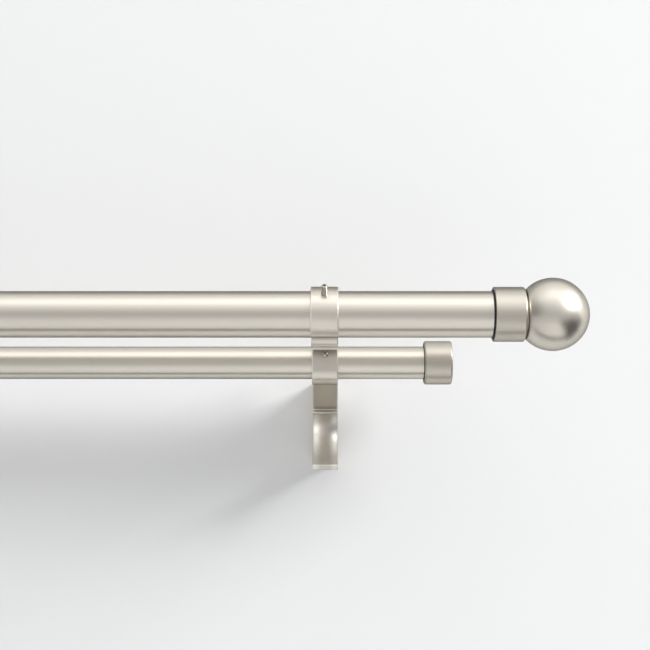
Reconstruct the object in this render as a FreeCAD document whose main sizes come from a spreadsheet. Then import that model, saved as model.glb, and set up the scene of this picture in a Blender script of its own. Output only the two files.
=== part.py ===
import FreeCAD, Part
import math
import os

import Sketcher

# A telescoping double curtain pole in satin nickel: two tubes one behind the other, carried by two cast
# brackets. X runs along the poles, Y points at the wall, Z is up. The origin is on the wall, at the centre of the
# right bracket's wall plate. Sizes are in millimetres and angles in degrees.

doc = FreeCAD.newDocument("double_curtain_pole")
sizes = doc.addObject("Spreadsheet::Sheet", "dim")

DRIVING_SIZES = [
    # Where the poles and brackets stand
    ("front_reach", 97.0),
    ("front_rise", 66.0),
    ("pole_pitch", 52.0),
    ("pole_drop", 28.0),
    ("bracket_spacing", 507.0),
    ("finial_offset", 91.8),
    ("cap_offset", 58.0),
    # Tubes
    ("front_tube_d", 25.4),
    ("rear_tube_d", 19.05),
    ("tube_wall", 1.0),
    ("front_inner_d", 21.6),
    ("rear_inner_d", 15.3),
    ("inner_wall", 0.9),
    ("front_inner_room", 95.6),
    ("rear_inner_room", 28.0),
    ("inner_showing", 4.0),
    ("tube_seat", 12.5),
    # Nylon bushes in the mouths of the outer tubes
    ("bush_length", 18.0),
    ("bush_flange", 0.8),
    ("bush_flange_edge", 0.3),
    ("bush_fit", 0.05),
    ("slide_gap", 0.25),
    # Collar, ball and stud of a finial
    ("collar_d", 30.0),
    ("collar_length", 16.9),
    ("collar_wall", 1.2),
    ("collar_end", 2.5),
    ("collar_round", 1.0),
    ("mouth_round", 0.5),
    ("ball_d", 40.0),
    ("ball_wall", 1.6),
    ("ball_seat_d", 25.2),
    ("ball_boss_d", 12.0),
    ("ball_boss_length", 9.0),
    ("stud_d", 5.8),
    ("stud_length", 17.0),
    ("liner_fit", 0.05),
    ("liner_sink", 0.4),
    ("liner_length", 13.8),
    # Rear end caps
    ("cap_d", 25.5),
    ("cap_length", 16.1),
    ("cap_wall", 1.2),
    ("cap_end", 2.2),
    ("cap_round", 1.2),
    ("cap_mouth_bevel", 0.8),
    ("cap_liner_length", 13.2),
    # Screws
    ("thread_fit", 0.1),
    ("clamp_screw_d", 3.4),
    ("front_clamp_length", 8.2),
    ("rear_clamp_length", 5.0),
    ("front_clamp_angle", 47.0),
    ("rear_clamp_angle", 24.0),
    ("grub_screw_d", 3.0),
    ("grub_end_sink", 0.2),
    ("lock_screw_length", 4.6),
    ("lock_screw_out", 2.5),
    ("socket_share", 0.58),
    ("socket_depth", 1.2),
    ("screw_bevel", 0.3),
    ("screw_touch", 0.05),
    # Casting: hook, arm and ring
    ("strip_width", 15.1),
    ("edge_round", 0.6),
    ("pole_gap", 0.15),
    ("hook_wall", 2.25),
    ("hook_end_angle", 51.0),
    ("neck_bend", 5.0),
    ("neck_back_round", 1.5),
    ("arm_thickness", 3.0),
    ("arm_root_round", 1.0),
    ("ring_wall", 3.0),
    ("ring_front_wall", 2.3),
    ("ring_front_round", 9.0),
    ("ring_back_round", 6.0),
    # Casting: stem, ledge, cove and lip, from the wall and from the centre of the wall plate
    ("foot_top", 24.0),
    ("foot_bottom", 25.0),
    ("stem_root_rise", 2.0),
    ("stem_back_sag", 4.5),
    ("ledge_out", 23.2),
    ("ledge_rise", 7.175),
    ("ledge_depth", 3.2),
    ("ledge_thickness", 2.55),
    ("ledge_nose", 0.75),
    ("ledge_root_round", 0.9),
    ("ledge_flat", 0.3),
    ("cove_depth_out", 4.6),
    ("cove_depth_drop", 3.2),
    ("cove_sweep_out", 13.0),
    ("cove_sweep_drop", 20.4),
    ("lip_out", 45.5),
    ("lip_thickness", 3.4),
    ("lip_round", 1.1),
    ("lip_top_round", 0.88),
    ("crown_centre", 21.0),
    ("crown_core", 12.0),
    ("crown_sweep", 80.0),
    # Casting: hollows in the foot
    ("core_width", 9.0),
    ("core_wall", 2.4),
    ("core_front_out", 36.0),
    ("core_middle_out", 20.0),
    ("core_back_out", 10.0),
    ("core_front_rise", 0.6),
    ("core_middle_rise", 4.2),
    ("core_height", 9.5),
    # Wall plate
    ("plate_width", 11.0),
    ("plate_height", 40.0),
    ("plate_thickness", 3.0),
    ("plate_bevel", 1.2),
    ("plate_gap", 0.25),
    ("plate_room_below", 1.6),
    ("wall_hole_d", 4.4),
    ("wall_hole_spacing", 25.0),
    ("wall_sink_d", 8.4),
    ("wall_sink_depth", 2.0),
]

for row, (alias, number) in enumerate(DRIVING_SIZES, 1):
    sizes.set(f"A{row}", alias)
    sizes.set(f"B{row}", str(number))
    sizes.setAlias(f"B{row}", alias)
doc.recompute()


def size(alias):
    """A driving dimension, read back from the sheet."""
    return float(getattr(sizes, alias))


def value(expression):
    """The number that an expression on the sheet comes to."""
    result = sizes.evalExpression(expression)
    return float(getattr(result, "Value", result))


# Places that several pieces share, as expressions on the sheet
FRONT_Y = "-dim.front_reach"
FRONT_Z = "dim.front_rise"
REAR_Y = "-(dim.front_reach - dim.pole_pitch)"
REAR_Z = "dim.front_rise - dim.pole_drop"
RIGHT_X = "0"
LEFT_X = "-dim.bracket_spacing"
COLLAR_BORE = "(dim.collar_d / 2 - dim.collar_wall)"
CAP_BORE = "(dim.cap_d / 2 - dim.cap_wall)"
BALL_SEAT = "sqrt((dim.ball_d / 2) ^ 2 - (dim.ball_seat_d / 2) ^ 2)"


def set_place(piece, along, back, up, turned_round=False):
    """Put a piece at three expressions, turned half round about Z where it serves the left-hand end."""
    half_turn = 180 if turned_round else 0
    turn = FreeCAD.Rotation(FreeCAD.Vector(0, 0, 1), half_turn)
    piece.Placement = FreeCAD.Placement(FreeCAD.Vector(), turn)
    piece.setExpression("Placement.Base.x", along)
    piece.setExpression("Placement.Base.y", back)
    piece.setExpression("Placement.Base.z", up)


def origin_plane(body, role):
    """One of a body's own origin planes."""
    return next(feature for feature in body.Origin.OriginFeatures if feature.Role == role)


def draw_profile(body, role, corners, name):
    """A closed sketch of straight lines, each corner's two coordinates bound to expressions on the sheet."""
    sketch = body.newObject("Sketcher::SketchObject", name)
    sketch.AttachmentSupport = (origin_plane(body, role), [""])
    sketch.MapMode = "FlatFace"
    starts = [FreeCAD.Vector(value(across), value(up), 0) for across, up in corners]
    ends = starts[1:] + starts[:1]
    for start, end in zip(starts, ends):
        sketch.addGeometry(Part.LineSegment(start, end), False)
    count = len(corners)
    for number, (across, up) in enumerate(corners):
        sketch.addConstraint(Sketcher.Constraint("Coincident", number, 2, (number + 1) % count, 1))
        for axis, expression, coordinate in (
            ("DistanceX", across, starts[number].x),
            ("DistanceY", up, starts[number].y),
        ):
            index = sketch.addConstraint(Sketcher.Constraint(axis, number, 1, coordinate))
            sketch.setExpression(f"Constraints[{index}]", expression)
    return sketch


def make_turned(name, corners):
    """A body turned about its own X axis from a profile of (along, radius) corners."""
    body = doc.addObject("PartDesign::Body", name)
    sketch = draw_profile(body, "XZ_Plane", corners, f"{name}_profile")
    turn = body.newObject("PartDesign::Revolution", f"{name}_turn")
    turn.Profile = sketch
    turn.ReferenceAxis = (sketch, ["H_Axis"])
    turn.Angle = 360
    body.Tip = turn
    doc.recompute()
    return body


def edges_on_circle(shape, along, radius):
    """Names of the edges that are whole circles about X at one place along it."""
    found = []
    for number, edge in enumerate(shape.Edges, 1):
        curve = edge.Curve
        if not isinstance(curve, Part.Circle) or abs(abs(curve.Axis.x) - 1) > 1e-6:
            continue
        if abs(curve.Center.x - along) < 1e-4 and abs(curve.Radius - radius) < 1e-4:
            found.append(f"Edge{number}")
    return found


def dress_edge(body, kind, along, radius, amount):
    """Round or bevel one circular edge of a turned body by a sheet alias."""
    base = body.Tip
    edges = edges_on_circle(base.Shape, value(along), value(radius))
    if not edges:
        raise RuntimeError(f"{body.Name} has no edge to dress at {along}, {radius}")
    feature = body.newObject(f"PartDesign::{kind}", f"{body.Name}_{kind.lower()}")
    feature.Base = (base, edges)
    feature.setExpression("Radius" if kind == "Fillet" else "Size", amount)
    body.Tip = feature
    doc.recompute()


def bind_cylinder(name, radius, height, base, direction):
    """A cylinder whose radius and height are expressions, standing on base along direction."""
    cylinder = doc.addObject("Part::Cylinder", name)
    cylinder.setExpression("Radius", radius)
    cylinder.setExpression("Height", height)
    cylinder.Placement = FreeCAD.Placement(base, FreeCAD.Rotation(FreeCAD.Vector(0, 0, 1), direction))
    return cylinder


def cut(name, base, tool):
    """One document object cut from another."""
    result = doc.addObject("Part::Cut", name)
    result.Base = base
    result.Tool = tool
    return result


# Tubes
# Rolled and welded steel. The outer tubes are held by both brackets, and the inner ones slide out to the left.
# An inner tube's far end stops short of the outer tube's end.


def make_tube(name, diameter, wall, right_end, left_end, back, up):
    radius = f"{diameter} / 2"
    bore = f"{diameter} / 2 - {wall}"
    tube = make_turned(
        name,
        [(left_end, bore), (right_end, bore), (right_end, radius), (left_end, radius)],
    )
    set_place(tube, RIGHT_X, back, up)
    return tube


FRONT_MOUTH = "-(dim.bracket_spacing + dim.finial_offset - dim.inner_showing)"
REAR_MOUTH = "-(dim.bracket_spacing + dim.cap_offset - dim.inner_showing)"
FRONT_OUTER_END = "dim.finial_offset + dim.tube_seat"
REAR_OUTER_END = "dim.cap_offset + dim.tube_seat"

front_outer_tube = make_tube(
    "front_outer_tube",
    "dim.front_tube_d",
    "dim.tube_wall",
    FRONT_OUTER_END,
    FRONT_MOUTH,
    FRONT_Y,
    FRONT_Z,
)
rear_outer_tube = make_tube(
    "rear_outer_tube",
    "dim.rear_tube_d",
    "dim.tube_wall",
    REAR_OUTER_END,
    REAR_MOUTH,
    REAR_Y,
    REAR_Z,
)
front_inner_tube = make_tube(
    "front_inner_tube",
    "dim.front_inner_d",
    "dim.inner_wall",
    f"{FRONT_OUTER_END} - dim.front_inner_room",
    "-(dim.bracket_spacing + dim.finial_offset + dim.tube_seat)",
    FRONT_Y,
    FRONT_Z,
)
rear_inner_tube = make_tube(
    "rear_inner_tube",
    "dim.rear_inner_d",
    "dim.inner_wall",
    f"{REAR_OUTER_END} - dim.rear_inner_room",
    "-(dim.bracket_spacing + dim.cap_offset + dim.tube_seat)",
    REAR_Y,
    REAR_Z,
)

# Glide bushes
# White nylon sleeves pressed into the left-hand mouths of the outer tubes. Their flanges cover the cut edge.


def make_bush(name, outer_diameter, inner_diameter, mouth, back, up):
    bore = f"{inner_diameter} / 2 + dim.slide_gap"
    sleeve = f"{outer_diameter} / 2 - dim.tube_wall - dim.bush_fit"
    flange = f"{outer_diameter} / 2 - dim.bush_flange_edge"
    bush = make_turned(
        name,
        [
            ("-dim.bush_flange", bore),
            ("dim.bush_length", bore),
            ("dim.bush_length", sleeve),
            ("0", sleeve),
            ("0", flange),
            ("-dim.bush_flange", flange),
        ],
    )
    set_place(bush, mouth, back, up)
    return bush


front_glide_bush = make_bush(
    "front_glide_bush", "dim.front_tube_d", "dim.front_inner_d", FRONT_MOUTH, FRONT_Y, FRONT_Z
)
rear_glide_bush = make_bush(
    "rear_glide_bush", "dim.rear_tube_d", "dim.rear_inner_d", REAR_MOUTH, REAR_Y, REAR_Z
)

# Finials
# A drawn steel collar with a dark plastic liner slips over the tube's end. A stud joins it to a hollow ball, and
# a grub screw underneath holds it on the tube. Each piece is drawn with the collar's mouth at zero and the ball
# towards +X, and the left-hand one is turned half round.

FINIAL_GRUB = "(dim.liner_sink + dim.liner_length / 2)"
FINIAL_STUD_HOLE = "(dim.stud_d / 2 + dim.thread_fit)"


def drill_down(name, piece, along, depth):
    """A hole for a grub screw, straight down from the axis through one side of a turned piece."""
    drill = bind_cylinder(
        f"{name}_drill",
        "dim.grub_screw_d / 2 + dim.thread_fit",
        depth,
        FreeCAD.Vector(),
        FreeCAD.Vector(0, 0, -1),
    )
    drill.setExpression("Placement.Base.x", along)
    return cut(name, piece, drill)


def make_collar(side, along, turned_round):
    radius = "dim.collar_d / 2"
    floor = "dim.collar_length - dim.collar_end"
    shell = make_turned(
        f"collar_shell_{side}",
        [
            ("0", COLLAR_BORE),
            (floor, COLLAR_BORE),
            (floor, FINIAL_STUD_HOLE),
            ("dim.collar_length", FINIAL_STUD_HOLE),
            ("dim.collar_length", radius),
            ("0", radius),
        ],
    )
    dress_edge(shell, "Fillet", "dim.collar_length", radius, "dim.collar_round")
    dress_edge(shell, "Fillet", "0", radius, "dim.mouth_round")
    collar = drill_down(f"finial_collar_{side}", shell, FINIAL_GRUB, "dim.collar_d")
    set_place(collar, along, FRONT_Y, FRONT_Z, turned_round)
    return collar


def make_liner(name, tube_diameter, bore, length, along, back, up, turned_round):
    """A plastic sleeve between a tube's end and the cup over it, sunk a little into the cup's mouth."""
    inside = f"{tube_diameter} / 2 + dim.liner_fit"
    outside = f"{bore} - dim.liner_fit"
    end = f"dim.liner_sink + {length}"
    sleeve = make_turned(
        f"{name}_sleeve",
        [("dim.liner_sink", inside), (end, inside), (end, outside), ("dim.liner_sink", outside)],
    )
    middle = f"(dim.liner_sink + {length} / 2)"
    liner = drill_down(name, sleeve, middle, f"{bore} + dim.collar_wall")
    set_place(liner, along, back, up, turned_round)
    return liner


def make_ball(side, along, turned_round):
    """A spun ball with a flat seat and an inner boss for the stud."""
    outer = size("ball_d") / 2
    inner = outer - size("ball_wall")
    flat = size("collar_length")
    centre = flat + value(BALL_SEAT)
    inside_flat = flat + size("ball_wall")
    boss_end = inside_flat + size("ball_boss_length")
    boss = size("ball_boss_d") / 2
    hole = value(FINIAL_STUD_HOLE)

    def spot(across, up):
        return FreeCAD.Vector(across, 0, up)

    seat_rim = spot(flat, size("ball_seat_d") / 2)
    inner_rim = spot(inside_flat, math.sqrt(inner**2 - (centre - inside_flat) ** 2))
    edges = [
        Part.makeLine(spot(flat, hole), seat_rim),
        Part.Arc(seat_rim, spot(centre, outer), spot(centre + outer, 0)).toShape(),
        Part.makeLine(spot(centre + outer, 0), spot(centre + inner, 0)),
        Part.Arc(spot(centre + inner, 0), spot(centre, inner), inner_rim).toShape(),
        Part.makeLine(inner_rim, spot(inside_flat, boss)),
        Part.makeLine(spot(inside_flat, boss), spot(boss_end, boss)),
        Part.makeLine(spot(boss_end, boss), spot(boss_end, hole)),
        Part.makeLine(spot(boss_end, hole), spot(flat, hole)),
    ]
    section = Part.Face(Part.Wire(edges))
    ball = doc.addObject("Part::Feature", f"finial_ball_{side}")
    ball.Shape = section.revolve(FreeCAD.Vector(), FreeCAD.Vector(1, 0, 0), 360)
    set_place(ball, along, FRONT_Y, FRONT_Z, turned_round)
    return ball


def make_stud(side, along, turned_round):
    """A threaded stud, half in the collar and half in the ball."""
    start = "dim.collar_length - dim.stud_length / 2"
    end = "dim.collar_length + dim.stud_length / 2"
    radius = "dim.stud_d / 2"
    stud = make_turned(f"finial_stud_{side}", [(start, "0"), (end, "0"), (end, radius), (start, radius)])
    dress_edge(stud, "Chamfer", start, radius, "dim.screw_bevel")
    dress_edge(stud, "Chamfer", end, radius, "dim.screw_bevel")
    set_place(stud, along, FRONT_Y, FRONT_Z, turned_round)
    return stud


def socket_screw(name, diameter, length, base, direction):
    """A headless screw with a hexagon socket in its far end, from base along direction."""
    rod = bind_cylinder(f"{name}_rod", f"{diameter} / 2", length, FreeCAD.Vector(), FreeCAD.Vector(0, 0, 1))
    bevelled = doc.addObject("Part::Chamfer", f"{name}_bevelled")
    bevelled.Base = rod
    doc.recompute()
    rims = [
        (number, size("screw_bevel"), size("screw_bevel"))
        for number, edge in enumerate(rod.Shape.Edges, 1)
        if isinstance(edge.Curve, Part.Circle)
    ]
    bevelled.Edges = rims
    socket = doc.addObject("Part::Prism", f"{name}_socket")
    socket.Polygon = 6
    socket.setExpression("Circumradius", f"{diameter} / 2 * dim.socket_share")
    socket.setExpression("Height", "dim.socket_depth")
    socket.setExpression("Placement.Base.z", f"{length} - dim.socket_depth")
    screw = cut(name, bevelled, socket)
    turn = FreeCAD.Rotation(FreeCAD.Vector(0, 0, 1), direction)
    screw.Placement = FreeCAD.Placement(base, turn)
    return screw


def make_finial_grub(side, tube_diameter, along, turned_round):
    """The grub screw under a collar, from the tube out to just below the collar's surface."""
    start = size(tube_diameter) / 2 + size("screw_touch")
    length = f"(dim.collar_d / 2 - dim.grub_end_sink - dim.{tube_diameter} / 2 - dim.screw_touch)"
    shift = value(FINIAL_GRUB) * (-1 if turned_round else 1)
    base = FreeCAD.Vector(value(along) + shift, value(FRONT_Y), value(FRONT_Z) - start)
    return socket_screw(
        f"finial_grub_screw_{side}", "dim.grub_screw_d", length, base, FreeCAD.Vector(0, 0, -1)
    )


RIGHT_COLLAR = "dim.finial_offset"
LEFT_COLLAR = "-(dim.bracket_spacing + dim.finial_offset)"
finials = []
for side, along, tube, turned_round in (
    ("right", RIGHT_COLLAR, "front_tube_d", False),
    ("left", LEFT_COLLAR, "front_inner_d", True),
):
    finials += [
        make_collar(side, along, turned_round),
        make_liner(
            f"finial_liner_{side}",
            f"dim.{tube}",
            COLLAR_BORE,
            "dim.liner_length",
            along,
            FRONT_Y,
            FRONT_Z,
            turned_round,
        ),
        make_stud(side, along, turned_round),
        make_ball(side, along, turned_round),
        make_finial_grub(side, tube, along, turned_round),
    ]

# Rear end caps
# Plain drawn caps with a plastic liner that grips the tube's end.


def make_cap(side, along, turned_round):
    radius = "dim.cap_d / 2"
    floor = "dim.cap_length - dim.cap_end"
    cap = make_turned(
        f"rear_end_cap_{side}",
        [
            ("0", CAP_BORE),
            (floor, CAP_BORE),
            (floor, "0"),
            ("dim.cap_length", "0"),
            ("dim.cap_length", radius),
            ("0", radius),
        ],
    )
    dress_edge(cap, "Fillet", "dim.cap_length", radius, "dim.cap_round")
    dress_edge(cap, "Chamfer", "0", radius, "dim.cap_mouth_bevel")
    set_place(cap, along, REAR_Y, REAR_Z, turned_round)
    return cap


def make_cap_liner(side, tube_diameter, along, turned_round):
    inside = f"{tube_diameter} / 2 + dim.liner_fit"
    outside = f"{CAP_BORE} - dim.liner_fit"
    end = "dim.liner_sink + dim.cap_liner_length"
    liner = make_turned(
        f"rear_cap_liner_{side}",
        [("dim.liner_sink", inside), (end, inside), (end, outside), ("dim.liner_sink", outside)],
    )
    set_place(liner, along, REAR_Y, REAR_Z, turned_round)
    return liner


end_caps = []
for side, along, tube, turned_round in (
    ("right", "dim.cap_offset", "dim.rear_tube_d", False),
    ("left", "-(dim.bracket_spacing + dim.cap_offset)", "dim.rear_inner_d", True),
):
    end_caps += [
        make_cap(side, along, turned_round),
        make_cap_liner(side, tube, along, turned_round),
    ]

# Wall plates
# Flat steel plates with bevelled ends, each held by two countersunk screws. The casting hooks over the upper
# bevel, and a grub screw from below bears on the lower one.


def make_wall_plate(side, along):
    half = "dim.plate_height / 2"
    body = doc.addObject("PartDesign::Body", f"plate_blank_{side}")
    sketch = draw_profile(
        body,
        "YZ_Plane",
        [
            ("0", f"{half} - dim.plate_bevel"),
            ("-dim.plate_thickness", half),
            ("-dim.plate_thickness", f"-{half}"),
            ("0", f"dim.plate_bevel - {half}"),
        ],
        f"plate_blank_{side}_profile",
    )
    pad = body.newObject("PartDesign::Pad", f"plate_blank_{side}_pad")
    pad.Profile = sketch
    pad.Midplane = True
    pad.setExpression("Length", "dim.plate_width")
    body.Tip = pad
    piece = body
    toward_room = FreeCAD.Vector(0, -1, 0)
    for level, sign in (("upper", 1), ("lower", -1)):
        rise = f"{sign} * dim.wall_hole_spacing / 2"
        drill = bind_cylinder(
            f"{level}_wall_drill_{side}",
            "dim.wall_hole_d / 2",
            "dim.plate_thickness",
            FreeCAD.Vector(),
            toward_room,
        )
        sink = doc.addObject("Part::Cone", f"{level}_wall_sink_{side}")
        sink.setExpression("Radius1", "dim.wall_hole_d / 2")
        sink.setExpression("Radius2", "dim.wall_sink_d / 2")
        sink.setExpression("Height", "dim.wall_sink_depth")
        sink.Placement = FreeCAD.Placement(
            FreeCAD.Vector(), FreeCAD.Rotation(FreeCAD.Vector(0, 0, 1), toward_room)
        )
        sink.setExpression("Placement.Base.y", "dim.wall_sink_depth - dim.plate_thickness")
        for tool in (drill, sink):
            tool.setExpression("Placement.Base.z", rise)
            last = level == "lower" and tool is sink
            name = f"wall_plate_{side}" if last else f"{tool.Name}_cut"
            piece = cut(name, piece, tool)
    set_place(piece, along, "0", "0")
    return piece


wall_plates = [make_wall_plate("right", RIGHT_X), make_wall_plate("left", LEFT_X)]

# Brackets
# One die casting each: a hook over the front pole, a neck and arm, a closed ring round the rear pole, and a stem
# that ends in a coved foot on the wall. The stem's front is crowned, so its side view is turned about an upright
# axis behind the wall and trimmed to the strip's width.

FRONT_BORE = size("front_tube_d") / 2 + size("pole_gap")
REAR_BORE = size("rear_tube_d") / 2 + size("pole_gap")
REAR_OUT = size("front_reach") - size("pole_pitch")
REAR_UP = size("front_rise") - size("pole_drop")


def side_view(out, up):
    """A point in the bracket's side view: out from the wall, up from the wall plate's centre."""
    return FreeCAD.Vector(0, -out, up)


def polar(out, up, radius, degrees):
    """A point round a pole's axis, the angle counted from the wall's direction over the top to the room."""
    turn = math.radians(degrees)
    return side_view(out - radius * math.cos(turn), up + radius * math.sin(turn))


def rounded_path(corners):
    """Lines joined by tangent arcs, from (point, radius) corners. The first and last have no radius."""
    edges = []
    here = corners[0][0]
    for index in range(1, len(corners) - 1):
        corner, radius = corners[index]
        before = (corners[index - 1][0] - corner).normalize()
        after = (corners[index + 1][0] - corner).normalize()
        half_angle = before.getAngle(after) / 2
        reach = radius / math.tan(half_angle)
        middle_reach = radius / math.sin(half_angle) - radius
        start = corner + before * reach
        middle = corner + (before + after).normalize() * middle_reach
        end = corner + after * reach
        edges += [Part.makeLine(here, start), Part.Arc(start, middle, end).toShape()]
        here = end
    edges.append(Part.makeLine(here, corners[-1][0]))
    return edges


def head_outline():
    """The hook, neck, arm and ring in side view, as one closed face."""
    out, up = size("front_reach"), size("front_rise")
    outer = FRONT_BORE + size("hook_wall")
    tip_angle = 180 + size("hook_end_angle")
    tip_middle = (FRONT_BORE + outer) / 2
    tip_round = (outer - FRONT_BORE) / 2
    tip_centre = polar(out, up, tip_middle, tip_angle)
    tip_forward = (polar(out, up, tip_middle, tip_angle + 90) - side_view(out, up)).normalize()
    arm_top = REAR_UP + REAR_BORE + size("ring_wall")
    arm_under = arm_top - size("arm_thickness")
    ring_front = REAR_OUT + REAR_BORE + size("ring_front_wall")
    ring_back = REAR_OUT - REAR_BORE - size("ring_wall")
    ring_bottom = REAR_UP - REAR_BORE - size("ring_wall")
    path = rounded_path(
        [
            (side_view(out - FRONT_BORE, up), 0),
            (side_view(out - FRONT_BORE, arm_under), size("neck_bend")),
            (side_view(ring_front, arm_under), size("arm_root_round")),
            (side_view(ring_front, ring_bottom), size("ring_front_round")),
            (side_view(ring_back, ring_bottom), size("arm_root_round")),
            (side_view(ring_back, arm_top), size("ring_back_round")),
            (side_view(out - outer, arm_top), size("neck_back_round")),
            (side_view(out - outer, up), 0),
        ]
    )
    hook = [
        Part.Arc(
            side_view(out - outer, up), polar(out, up, outer, tip_angle / 2), polar(out, up, outer, tip_angle)
        ),
        Part.Arc(
            polar(out, up, outer, tip_angle),
            tip_centre + tip_forward * tip_round,
            polar(out, up, FRONT_BORE, tip_angle),
        ),
        Part.Arc(
            polar(out, up, FRONT_BORE, tip_angle),
            polar(out, up, FRONT_BORE, tip_angle / 2),
            side_view(out - FRONT_BORE, up),
        ),
    ]
    return Part.Face(Part.Wire(path + [arc.toShape() for arc in hook]))


def stem_outline():
    """The stem, ledge, cove and lip in side view, carried on behind the wall to be trimmed flat there."""
    behind_wall = size("crown_core") - size("crown_centre")
    ring_inside = REAR_OUT - REAR_BORE - size("ring_wall") / 2
    ring_bottom = REAR_UP - REAR_BORE - size("ring_wall")
    top_start = side_view(ring_inside, REAR_UP + size("stem_root_rise"))
    top_end = side_view(0, size("foot_top"))
    top_middle = (top_start + top_end) * 0.5 - FreeCAD.Vector(0, 0, size("stem_back_sag"))
    floor = -size("foot_bottom")
    lip_top = floor + size("lip_thickness")
    ledge_root_out = size("ledge_out") - size("ledge_depth")
    ledge_top_root = side_view(ledge_root_out, size("ledge_rise") + size("ledge_thickness") / 2)
    ledge_under_root = side_view(ledge_root_out, size("ledge_rise") - size("ledge_thickness") / 2)
    ledge_nose = side_view(size("ledge_out"), size("ledge_rise"))
    front_start = side_view(ring_inside, ring_bottom)
    root_angle = (front_start - ledge_top_root).getAngle(ledge_nose - ledge_top_root)
    nose_angle = (ledge_top_root - ledge_nose).getAngle(ledge_under_root - ledge_nose)
    nose_reach = size("ledge_nose") / math.tan(nose_angle / 2)
    ledge_top = (ledge_nose - ledge_top_root).Length
    root_room = ledge_top - nose_reach - size("ledge_flat")
    root_round = min(size("ledge_root_round"), root_room * math.tan(root_angle / 2))
    cove = Part.BezierCurve()
    cove.setPoles(
        [
            ledge_under_root,
            side_view(size("cove_depth_out"), -size("cove_depth_drop")),
            side_view(size("cove_sweep_out"), -size("cove_sweep_drop")),
            side_view(size("lip_out") - size("lip_round"), lip_top),
        ]
    )
    lip_front = rounded_path(
        [
            (side_view(size("lip_out") - size("lip_round"), lip_top), 0),
            (side_view(size("lip_out"), lip_top), size("lip_top_round")),
            (side_view(size("lip_out"), floor), size("lip_round")),
            (side_view(behind_wall, floor), 0),
        ]
    )
    ledge = rounded_path(
        [
            (front_start, 0),
            (ledge_top_root, root_round),
            (ledge_nose, size("ledge_nose")),
            (ledge_under_root, 0),
        ]
    )
    back = [
        Part.makeLine(side_view(behind_wall, floor), side_view(behind_wall, size("foot_top"))),
        Part.makeLine(side_view(behind_wall, size("foot_top")), top_end),
        Part.Arc(top_end, top_middle, top_start).toShape(),
        Part.makeLine(top_start, front_start),
    ]
    edges = ledge + [cove.toShape()] + lip_front + back
    return Part.Face(Part.Wire(edges))


def slab(width, low_out, high_out, low, high):
    """A box as wide as given, centred on the bracket, between two distances from the wall and two heights."""
    return Part.makeBox(width, high_out - low_out, high - low, FreeCAD.Vector(-width / 2, -high_out, low))


def side_edges(shape, half_width):
    """The edges that run round the two flat sides of a strip."""
    found = []
    for edge in shape.Edges:
        points = edge.discretize(5)
        if all(abs(abs(point.x) - half_width) < 1e-4 for point in points):
            if len({point.x > 0 for point in points}) == 1:
                found.append(edge)
    return found


def polar_drill(out, up, degrees, diameter, reach):
    """A straight drill from a pole's axis outwards, at an angle counted as in polar."""
    direction = polar(0, 0, 1, degrees)
    return Part.makeCylinder(diameter / 2 + size("thread_fit"), reach, side_view(out, up), direction)


def make_head():
    width = size("strip_width")
    face = head_outline()
    face.translate(FreeCAD.Vector(-width / 2, 0, 0))
    head = face.extrude(FreeCAD.Vector(width, 0, 0))
    return head.makeFillet(size("edge_round"), side_edges(head, width / 2))


def make_stem():
    width = size("strip_width")
    reach = size("front_reach") + size("front_tube_d")
    tall = size("front_rise") + size("front_tube_d")
    axis = FreeCAD.Vector(0, size("crown_centre"), 0)
    upright = FreeCAD.Vector(0, 0, 1)
    face = stem_outline()
    face.rotate(axis, upright, -size("crown_sweep") / 2)
    turned = face.revolve(axis, upright, size("crown_sweep"))
    stem = turned.common(slab(width, 0, reach, -tall, tall))
    return stem.makeFillet(size("edge_round"), side_edges(stem, width / 2))


def plate_recess():
    """The hollow behind the foot, which hooks over the wall plate's upper bevel and has room to swing on."""
    gap = size("plate_gap")
    half = size("plate_height") / 2
    deep = size("plate_thickness") + gap
    low = -half - size("plate_room_below")
    corners = [
        side_view(0, half - size("plate_bevel") + gap),
        side_view(deep, half + gap),
        side_view(deep, low),
        side_view(0, low),
    ]
    width = size("plate_width") + 2 * gap
    face = Part.Face(Part.makePolygon(corners + corners[:1]))
    face.translate(FreeCAD.Vector(-width / 2, 0, 0))
    return face.extrude(FreeCAD.Vector(width, 0, 0))


def foot_core():
    """The hollow under the cove, with a wall of even thickness left above it."""
    floor = -size("foot_bottom")
    cove_top = floor + size("lip_thickness")
    roof = cove_top - size("core_wall") + size("core_front_rise")
    corners = [
        side_view(size("core_front_out"), floor),
        side_view(size("core_front_out"), roof),
        side_view(size("core_middle_out"), roof + size("core_middle_rise")),
        side_view(size("core_back_out"), floor + size("core_height")),
        side_view(size("core_back_out"), floor),
    ]
    face = Part.Face(Part.makePolygon(corners + corners[:1]))
    face.translate(FreeCAD.Vector(-size("core_width") / 2, 0, 0))
    return face.extrude(FreeCAD.Vector(size("core_width"), 0, 0))


def make_casting():
    out, up = size("front_reach"), size("front_rise")
    width = size("strip_width")
    across = FreeCAD.Vector(1, 0, 0)
    casting = make_head().fuse(make_stem()).removeSplitter()
    rear_bore = Part.makeCylinder(
        REAR_BORE, width, side_view(REAR_OUT, REAR_UP) - across * (width / 2), across
    )
    screw = size("clamp_screw_d")
    front_drill = polar_drill(out, up, 180 - size("front_clamp_angle"), screw, 2 * FRONT_BORE)
    rear_drill = polar_drill(REAR_OUT, REAR_UP, 180 - size("rear_clamp_angle"), screw, 2 * REAR_BORE)
    lock_drill = Part.makeCylinder(
        size("grub_screw_d") / 2 + size("thread_fit"),
        size("foot_bottom"),
        side_view(size("lock_screw_out"), -size("foot_bottom")),
        FreeCAD.Vector(0, 0, 1),
    )
    lock_drill = lock_drill.common(slab(width, 0, out, -size("foot_bottom"), -size("plate_height") / 2))
    return casting.cut([rear_bore, front_drill, rear_drill, lock_drill, plate_recess(), foot_core()])


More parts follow.
